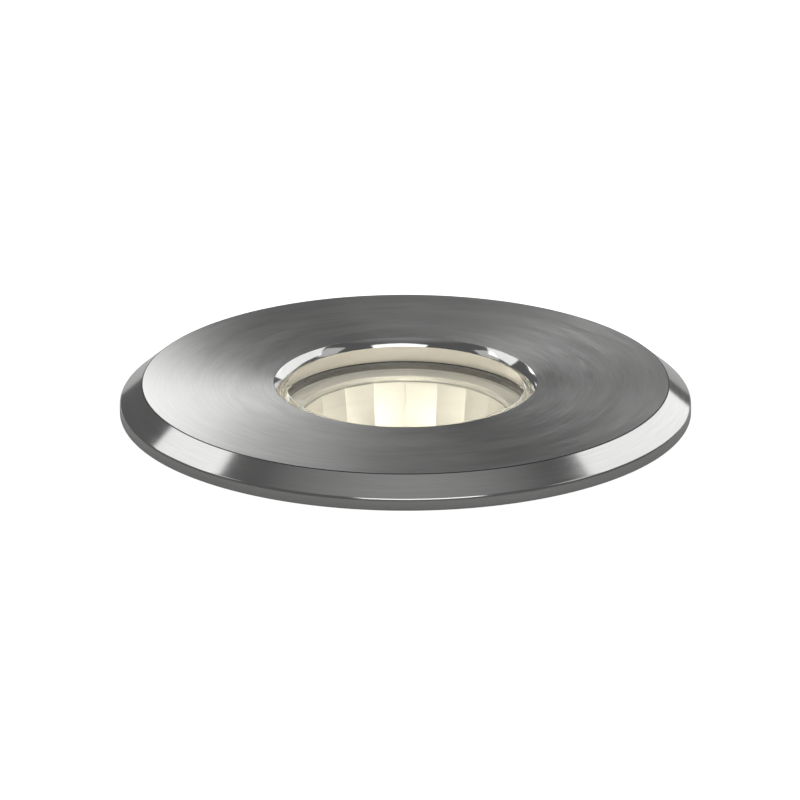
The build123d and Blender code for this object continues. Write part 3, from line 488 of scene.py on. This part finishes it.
class WELLLIGHT_OT_glass(bpy.types.Operator):
    """Thick toughened glass with ground edges"""
    bl_idname = "well_light.glass"
    bl_label = "Glass"

    def execute(self, context):
        size = context.scene.well_light_glass
        radius, low, high = GLASS_HIGH.x, GLASS_LOW.z, GLASS_HIGH.z
        points = rounded([
            (0, low, 0),
            (radius - size.foot, low, size.edge / 2), (radius, low + size.foot, size.edge / 2),
            (radius, high - size.chamfer, size.edge), (radius - size.chamfer, high, size.edge),
            (0, high, 0),
        ])
        block = lathe("glass_block", points, GLASS_STEPS, closed=False)
        # Toughened soda-lime glass, polished: clear, with the faintest green in its thickness.
        material, tree, shader = blank("toughened_soda_lime_glass")
        set_inputs(shader, Base_Color=rgba(size.tint), Roughness=0.0, IOR=1.52, Transmission_Weight=1.0)
        place = add(tree, "ShaderNodeTexCoord").outputs["Object"]
        streaks = add(tree, "ShaderNodeTexNoise", {
            "Vector": place, "Scale": 1 / (14 * MM), "Detail": 1.0,
        })
        tints = add(tree, "ShaderNodeMix", {
            FACTOR: streaks.outputs["Fac"], COLOUR_ONE: rgba(size.tint), COLOUR_TWO: (1, 1, 1, 1),
        }, data_type="RGBA")
        tree.links.new(tints.outputs[COLOUR_OUT], shader.inputs["Base Color"])
        # Its edge, ground and not polished: a satin that blurs what shows in it.
        ground, tree, shader = blank("toughened_glass_ground_edge")
        place = add(tree, "ShaderNodeTexCoord").outputs["Object"]
        grit = add(tree, "ShaderNodeTexNoise", {
            "Vector": place, "Scale": 1 / (0.2 * MM), "Detail": 3.0,
        })
        rough = add(tree, "ShaderNodeMapRange", {
            VALUE: grit.outputs["Fac"], FROM_LOW: 0.3, FROM_HIGH: 0.7, TO_LOW: 0.5, TO_HIGH: 0.6,
        })
        tree.links.new(rough.outputs[0], shader.inputs["Roughness"])
        set_inputs(shader, Base_Color=rgba(linear("#EAE4D3")), IOR=1.52, Transmission_Weight=0.3)

        upright = 0.2

        def edge(_radius, _height, normal):
            """Ground where a face stands upright, and polished elsewhere."""
            return 1 if abs(normal.z) < upright else 0

        dress(block, material, ground, rule=edge)
        block.visible_shadow = False
        stand_for(block, "glass_lens", "glass")
        # Grey silicone cushion: light, matt, a little waxy.
        finish("glass_cushion", "silicone_cushion", "#DAD8D0", "#E4E2DA", 0.5, 0.05, 0.4, 0.01, 6,
               IOR=1.41, Subsurface_Weight=0.1, Subsurface_Scale=0.001)
        return {"FINISHED"}


class WELLLIGHT_OT_led(bpy.types.Operator):
    """Faceted reflector, light source, board and heat spreader"""
    bl_idname = "well_light.led"
    bl_label = "Reflector and LED"

    def execute(self, context):
        size = context.scene.well_light_led
        outside, low, high = EMITTER_HIGH.x, EMITTER_LOW.z, EMITTER_HIGH.z
        inner = outside - size.dam
        sunk = 0.25 * MM               # how far the phosphor's rim lies below the dam's top
        dam = lathe("emitter_dam", rounded([
            (inner, low, 0), (outside, low, 0.05 * MM),
            (outside, high, 0.3 * MM), (inner, high, 0.3 * MM),
        ]), EMITTER_STEPS)
        phosphor = lathe("emitter_phosphor", rounded([
            (0, low, 0), (inner, low, 0), (inner, high - sunk, 0),
            (inner - 1 * MM, high - sunk * 0.6, 0), (0, high - sunk * 0.4, 0),
        ]), EMITTER_STEPS, closed=False)
        # White silicone dam round the chips: bright and matt.
        dress(dam, moulded("white_silicone_dam", "#E6E4DC", "#EFEDE6", 0.45, 0.05, 0.3, 0.005, 3,
                           IOR=1.41))
        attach(dam, "light_insert")
        # Silicone filled with phosphor, lit from below: an even warm glow with a soft grain.
        material, tree, shader = blank("phosphor_in_silicone")
        place = add(tree, "ShaderNodeTexCoord").outputs["Object"]
        grains = add(tree, "ShaderNodeTexNoise", {
            "Vector": place, "Scale": 1 / (0.25 * MM), "Detail": 2.0,
        })
        tone = add(tree, "ShaderNodeMix", {
            FACTOR: grains.outputs["Fac"],
            COLOUR_ONE: rgba(linear("#E8C46A")), COLOUR_TWO: rgba(linear("#F2D584")),
        }, data_type="RGBA")
        tree.links.new(tone.outputs[COLOUR_OUT], shader.inputs["Base Color"])
        set_inputs(shader, Roughness=0.5, IOR=1.41, Emission_Color=rgba(size.glow),
                   Emission_Strength=size.strength)
        dress(phosphor, material)
        stand_for(phosphor, "led_emitter", "light_insert")

        # Bright anodised aluminium, pressed in flats: a soft mirror with a fine pressing grain.
        # Its raised rim is etched, and so paler and duller than the flats; its upright bore is drawn
        # greyer, as painted shade.
        tree, shader, bright = principled(finish(
            "reflector", "bright_anodised_aluminium", "#E8E6DE", "#F0EEE7", 0.38, 0.03, 0.5, 0.002, 5))
        place = add(tree, "ShaderNodeTexCoord").outputs["Object"]
        parts = add(tree, "ShaderNodeSeparateXYZ", {0: place})
        etched = add(tree, "ShaderNodeMapRange", {
            VALUE: parts.outputs["Z"], FROM_LOW: RIM_FOOT - 0.1 * MM, FROM_HIGH: RIM_FOOT + 0.1 * MM,
            TO_LOW: 0.0, TO_HIGH: 1.0,
        }).outputs[0]
        normal = add(tree, "ShaderNodeNewGeometry").outputs["Normal"]
        facing = add(tree, "ShaderNodeSeparateXYZ", {0: normal})
        upright = add(tree, "ShaderNodeMapRange", {
            VALUE: facing.outputs["Z"], FROM_LOW: 0.2, FROM_HIGH: 0.6, TO_LOW: 1.0, TO_HIGH: 0.0,
        })
        # Painted shade: the rim's upright faces take a greyer colour than its top.
        bore = add(tree, "ShaderNodeMath", {0: etched, 1: upright.outputs[0]}, operation="MULTIPLY")
        both = add(tree, "ShaderNodeMix", {
            FACTOR: bore.outputs[0], COLOUR_ONE: bright, COLOUR_TWO: rgba(linear("#A9A79F")),
        }, data_type="RGBA")
        tree.links.new(both.outputs[COLOUR_OUT], shader.inputs["Base Color"])
        metal = add(tree, "ShaderNodeMapRange", {
            VALUE: etched, FROM_LOW: 0.0, FROM_HIGH: 1.0, TO_LOW: 0.85, TO_HIGH: 0.25,
        })
        tree.links.new(metal.outputs[0], shader.inputs["Metallic"])
        # White solder mask over a metal core: even and slightly glossy.
        finish("led_board", "white_solder_mask", "#DADAD6", "#E6E6E2", 0.4, 0.05, 0.5, 0.006, 4, IOR=1.55)
        # Moulded white polycarbonate: soft gloss.
        finish("led_holder", "white_polycarbonate", "#D6D5D0", "#DEDDD8", 0.42, 0.05, 0.3, 0.006, 4,
               IOR=1.58)
        for node in ("led_holder_screws", "spreader_screws"):
            fastener(node)
        # Turned aluminium plate: pale, with clear tool rings.
        plate = turned_metal("aluminium_turned", linear("#D5D6D8"), 0.32, 0.05, 0.4 * MM, 0.01 * MM,
                             0.5)
        dress(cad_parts["heat_spreader"], plate)
        # Silicone wire insulation: smooth and slightly waxy, one lead red and one black.
        tree, shader, red = principled(finish(
            "led_leads", "silicone_wire", "#7E1512", "#8F1B16", 0.4, 0.05, 0.3, 0.004, 3, IOR=1.41))
        place = add(tree, "ShaderNodeTexCoord").outputs["Object"]
        parts = add(tree, "ShaderNodeSeparateXYZ", {0: place})
        side = add(tree, "ShaderNodeMath", {0: parts.outputs["Y"], 1: 0.0}, operation="GREATER_THAN")
        both = add(tree, "ShaderNodeMix", {
            FACTOR: side.outputs[0], COLOUR_ONE: rgba(linear("#161617")), COLOUR_TWO: red,
        }, data_type="RGBA")
        tree.links.new(both.outputs[COLOUR_OUT], shader.inputs["Base Color"])
        return {"FINISHED"}


class WELLLIGHT_OT_can(bpy.types.Operator):
    """Cast can, rear cover, rubber rings and screws"""
    bl_idname = "well_light.can"
    bl_label = "Can and cover"

    def execute(self, context):
        # Die-cast aluminium under black powder coat: an orange-peel relief breaks its gloss, drawn
        # at 0.8 mm, about twice its real size, so that it shows.
        for node in ("housing_can", "rear_cover"):
            finish(node, "powder_coated_casting", "#232427", "#333539", 0.46, 0.1, 0.8, 0.07, 9,
                   IOR=1.5)
        for node in ("retaining_rings", "cover_seal"):
            rubber(node)
        fastener("cover_screws")
        return {"FINISHED"}


class WELLLIGHT_OT_driver(bpy.types.Operator):
    """Driver board and its components"""
    bl_idname = "well_light.driver"
    bl_label = "Driver"

    def execute(self, context):
        # Glass-fibre board under green solder mask: glossy, with tracks that show paler.
        tree, shader, mask = principled(finish(
            "driver_board", "green_solder_mask", "#0E4326", "#125030", 0.3, 0.05, 0.6, 0.01, 6,
            IOR=1.55))
        place = add(tree, "ShaderNodeTexCoord").outputs["Object"]
        tracks = add(tree, "ShaderNodeTexBrick", {
            "Vector": place, "Color1": (0, 0, 0, 1), "Color2": (0, 0, 0, 1), "Mortar": (1, 1, 1, 1),
            "Scale": 1 / (9 * MM), "Mortar Size": 0.03, "Mortar Smooth": 0.1,
        })
        both = add(tree, "ShaderNodeMix", {
            FACTOR: tracks.outputs["Color"], COLOUR_ONE: mask, COLOUR_TWO: rgba(linear("#2C7A4B")),
        }, data_type="RGBA")
        tree.links.new(both.outputs[COLOUR_OUT], shader.inputs["Base Color"])
        for node in ("driver_standoffs", "driver_screws"):
            fastener(node)
        # Ferrite and epoxy: dull, near black, faintly grainy.
        for node in ("driver_inductor", "driver_chips"):
            finish(node, "ferrite_and_epoxy", "#1A1A1A", "#262625", 0.6, 0.08, 0.2, 0.01, 2, IOR=1.55)
        # Shrink sleeve: smooth, dark blue and glossy.
        finish("driver_capacitors", "shrink_sleeve", "#151A2E", "#1C2238", 0.3, 0.05, 0.5, 0.004, 3,
               IOR=1.54)
        # Moulded polyamide terminal: green, satin.
        finish("terminal_block", "green_polyamide", "#1F5A38", "#276742", 0.45, 0.06, 0.3, 0.008, 3,
               IOR=1.53)
        return {"FINISHED"}


class WELLLIGHT_OT_gland(bpy.types.Operator):
    """Cable gland and vent plug"""
    bl_idname = "well_light.gland"
    bl_label = "Gland and vent"

    def execute(self, context):
        # Moulded black polyamide: satin, with the grain of a spark-eroded mould.
        for node in ("gland_body", "gland_nut", "gland_locknut", "vent_plug"):
            finish(node, "black_polyamide", "#18191A", "#222324", 0.42, 0.07, 0.25, 0.01, 5, IOR=1.53)
        # Chloroprene seal: matt black.
        finish("gland_seal", "chloroprene", "#131313", "#1B1B1B", 0.6, 0.05, 0.3, 0.006, 4, IOR=1.5)
        return {"FINISHED"}


class WELLLIGHT_OT_sleeve(bpy.types.Operator):
    """Ground sleeve, its floor, grommet and screws"""
    bl_idname = "well_light.sleeve"
    bl_label = "Ground sleeve"

    def execute(self, context):
        # Moulded black polypropylene: waxy satin, with flow marks. Its mould grain is drawn at
        # 0.7 mm, several times its real size, so that it shows.
        for node in ("ground_sleeve", "sleeve_base"):
            finish(node, "moulded_polypropylene", "#222326", "#323336", 0.45, 0.1, 0.7, 0.04, 16,
                   IOR=1.49)
        rubber("sleeve_grommet")
        fastener("base_screws")
        return {"FINISHED"}


# ---------------------------------------------------------------- stage
def softbox(name, bearing, elevation, distance, size, strength, roll=0.0):
    """Lamp at a bearing from +Y (clockwise, degrees) and a height (degrees) over the flange.

    It lights and reflects but isn't seen itself. size is a diameter, or a width and a height,
    in metres as distance is, and roll turns it about its own axis, in degrees. strength is how
    bright it shows in a mirror, with white at 1.
    """
    turn, rise = math.radians(bearing), math.radians(elevation)
    aim = Vector((0, 0, TRIM_HIGH.z))
    place = Vector((
        math.sin(turn) * math.cos(rise), math.cos(turn) * math.cos(rise), math.sin(rise),
    ))
    data = bpy.data.lights.new(name, "AREA")
    if isinstance(size, tuple):
        data.shape = "RECTANGLE"
        data.size, data.size_y = size
        area = size[0] * size[1]
    else:
        data.shape = "DISK"
        data.size = size
        area = math.pi * size ** 2 / 4
    data.energy = strength * math.pi * area
    lamp = bpy.data.objects.new(name, data)
    lamp.location = aim + place * distance
    lamp.rotation_mode = "QUATERNION"
    own = Quaternion((0, 0, 1), math.radians(roll))
    lamp.rotation_quaternion = (-place).to_track_quat("-Z", "Y") @ own
    lamp.visible_camera = False
    bpy.context.scene.collection.objects.link(lamp)


class WELLLIGHT_OT_stage(bpy.types.Operator):
    """Pale floor round the light, white background, soft lamps and the camera"""
    bl_idname = "well_light.stage"
    bl_label = "Stage"

    def execute(self, context):
        size = context.scene.well_light_stage
        scene = context.scene
        level = -0.05 * MM             # just clear of the flange's foot
        hole, rim = Vector((SLEEVE_HIGH.x, level)), Vector((size.floor_radius, level))
        floor = lathe("floor", [hole, rim], FLOOR_STEPS, closed=False)
        material, tree, shader = blank("pale_floor")
        set_inputs(shader, Roughness=0.9, Base_Color=rgba(size.floor))
        rays = add(tree, "ShaderNodeLightPath").outputs
        shown = add(tree, "ShaderNodeMath", {0: rays["Is Camera Ray"], 1: rays["Is Transmission Ray"]},
                    operation="ADD", use_clamp=True)
        # The glow is a little lower near the object, where its shadow lies, and white further out,
        # so that the floor has no edge against the background. It leaves out glossy rays, because
        # the flange's upright rim would mirror it and show about twice as bright as it should.
        place = add(tree, "ShaderNodeTexCoord").outputs["Object"]
        away = add(tree, "ShaderNodeVectorMath", {0: place}, operation="LENGTH").outputs["Value"]
        lit = add(tree, "ShaderNodeMapRange", {
            VALUE: away, FROM_LOW: 70 * MM, FROM_HIGH: 280 * MM, TO_LOW: 0.8, TO_HIGH: 1.0,
        })
        glow = add(tree, "ShaderNodeEmission", {"Color": (1, 1, 1, 1), "Strength": lit.outputs[0]})
        both = add(tree, "ShaderNodeAddShader", {0: shader.outputs[0], 1: glow.outputs[0]})
        mixed = add(tree, "ShaderNodeMixShader",
                    {0: shown.outputs[0], 1: shader.outputs[0], 2: both.outputs[0]})
        out = next(n for n in tree.nodes if n.type == "OUTPUT_MATERIAL")
        tree.links.new(mixed.outputs[0], out.inputs["Surface"])
        material.cycles.emission_sampling = "NONE"     # its glow is a look, and lights nothing
        dress(floor, material)
        floor.visible_shadow = False
        floor.visible_diffuse = False

        world = bpy.data.worlds.new("white_studio")
        scene.world = world
        world.use_nodes = True
        tree = world.node_tree
        tree.nodes.clear()
        rays = add(tree, "ShaderNodeLightPath").outputs
        white = add(tree, "ShaderNodeBackground", {"Color": (1, 1, 1, 1), "Strength": 1.0})
        # Metal and glass show the white below the horizon, and the dim studio above it, whose
        # ceiling is a little brighter.
        way = add(tree, "ShaderNodeTexCoord").outputs["Generated"]
        rise = add(tree, "ShaderNodeSeparateXYZ", {0: way}).outputs["Z"]
        overhead = add(tree, "ShaderNodeMapRange", {
            VALUE: rise, FROM_LOW: 0.85, FROM_HIGH: 1.0,
            TO_LOW: size.room, TO_HIGH: size.room + size.ceiling,
        })
        room = add(tree, "ShaderNodeBackground",
                   {"Color": (1, 1, 1, 1), "Strength": overhead.outputs[0]})
        below = add(tree, "ShaderNodeMapRange", {
            VALUE: rise, FROM_LOW: -0.04, FROM_HIGH: 0.0, TO_LOW: 1.0, TO_HIGH: 0.0,
        })
        mirrored = add(tree, "ShaderNodeMath", {0: rays["Is Glossy Ray"], 1: rays["Is Transmission Ray"]},
                       operation="ADD", use_clamp=True)
        lower = add(tree, "ShaderNodeMath", {0: mirrored.outputs[0], 1: below.outputs[0]},
                    operation="MULTIPLY")
        shown = add(tree, "ShaderNodeMath", {0: lower.outputs[0], 1: rays["Is Camera Ray"]},
                    operation="ADD", use_clamp=True)
        mixed = add(tree, "ShaderNodeMixShader",
                    {0: shown.outputs[0], 1: room.outputs[0], 2: white.outputs[0]})
        add(tree, "ShaderNodeOutputWorld", {"Surface": mixed.outputs[0]})

        # Two lamps behind draw the bright sector of the brushing at the left and a weak one the
        # faint sector at the right. The front softbox shows at the back of the window's lip, the
        # left and right ones lie along the way that the bevel looks, and the two lip softboxes
        # show in the lip alone.
        softbox("low_lamp", -22, 22, 0.2, 0.068, size.low)
        softbox("high_lamp", -15, 38, 0.5, 0.17, size.high)
        softbox("side_lamp", 22, 22, 0.2, 0.068, size.side)
        softbox("front_softbox", 173, 47, 0.5, (0.36, 0.2), size.front)
        softbox("left_softbox", -62, 39, 0.6, (0.29, 0.3), size.left, roll=50)
        softbox("right_softbox", 49, 28, 0.6, (0.68, 0.3), size.right, roll=-48)
        softbox("left_lip_softbox", -88, 36, 0.6, (0.2, 0.2), size.lip)
        softbox("right_lip_softbox", 94, 41, 0.6, (0.2, 0.2), size.lip)

        data = bpy.data.cameras.new("camera")
        data.lens = size.lens
        data.sensor_width = 36.0
        back = Vector((0, -math.cos(size.elevation), math.sin(size.elevation)))
        up = Vector((0, math.sin(size.elevation), math.cos(size.elevation)))
        aside, down = -0.96 * MM, 3.21 * MM     # from the flange's middle to the picture's
        aim = Vector((aside, 0, TRIM_HIGH.z)) - up * down
        width_seen = 139.9 * MM                 # at the object, across the picture
        camera = bpy.data.objects.new("camera", data)
        camera.location = aim + back * (width_seen * data.lens / data.sensor_width)
        camera.rotation_mode = "QUATERNION"
        camera.rotation_quaternion = (-back).to_track_quat("-Z", "Y")
        data.clip_start, data.clip_end = 0.1, 20.0
        scene.collection.objects.link(camera)
        scene.camera = camera
        scene.view_settings.view_transform = "Standard"
        return {"FINISHED"}


class WELLLIGHT_PT_panel(bpy.types.Panel):
    """Buttons and settings of the well light"""
    bl_idname = "WELLLIGHT_PT_panel"
    bl_label = "Well light"
    bl_space_type = "VIEW_3D"
    bl_region_type = "UI"
    bl_category = "Well light"

    def draw(self, context):
        for operator in OPERATORS:
            self.layout.operator(operator.bl_idname)
        for name, group in GROUPS.items():
            box = self.layout.box()
            box.label(text=group.__doc__)
            for prop in group.__annotations__:
                box.prop(getattr(context.scene, name), prop)


GROUPS = {
    "well_light_trim": WellLightTrim,
    "well_light_glass": WellLightGlass,
    "well_light_led": WellLightLed,
    "well_light_stage": WellLightStage,
}
OPERATORS = (
    WELLLIGHT_OT_trim, WELLLIGHT_OT_glass, WELLLIGHT_OT_led, WELLLIGHT_OT_can,
    WELLLIGHT_OT_driver, WELLLIGHT_OT_gland, WELLLIGHT_OT_sleeve, WELLLIGHT_OT_stage,
)


def register():
    """Adds the classes, and the settings to the scene."""
    for kind in (*GROUPS.values(), *OPERATORS, WELLLIGHT_PT_panel):
        bpy.utils.register_class(kind)
    for name, group in GROUPS.items():
        setattr(bpy.types.Scene, name, PointerProperty(type=group))


def unregister():
    """Takes them away again."""
    for name in GROUPS:
        delattr(bpy.types.Scene, name)
    for kind in (WELLLIGHT_PT_panel, *reversed(OPERATORS), *reversed(list(GROUPS.values()))):
        bpy.utils.unregister_class(kind)


def main():
    """Registers the classes and runs each operator in order."""
    register()
    for operator in OPERATORS:
        group, name = operator.bl_idname.split(".")
        getattr(getattr(bpy.ops, group), name)()
    bpy.context.view_layer.update()


if __name__ == "__main__":
    main()
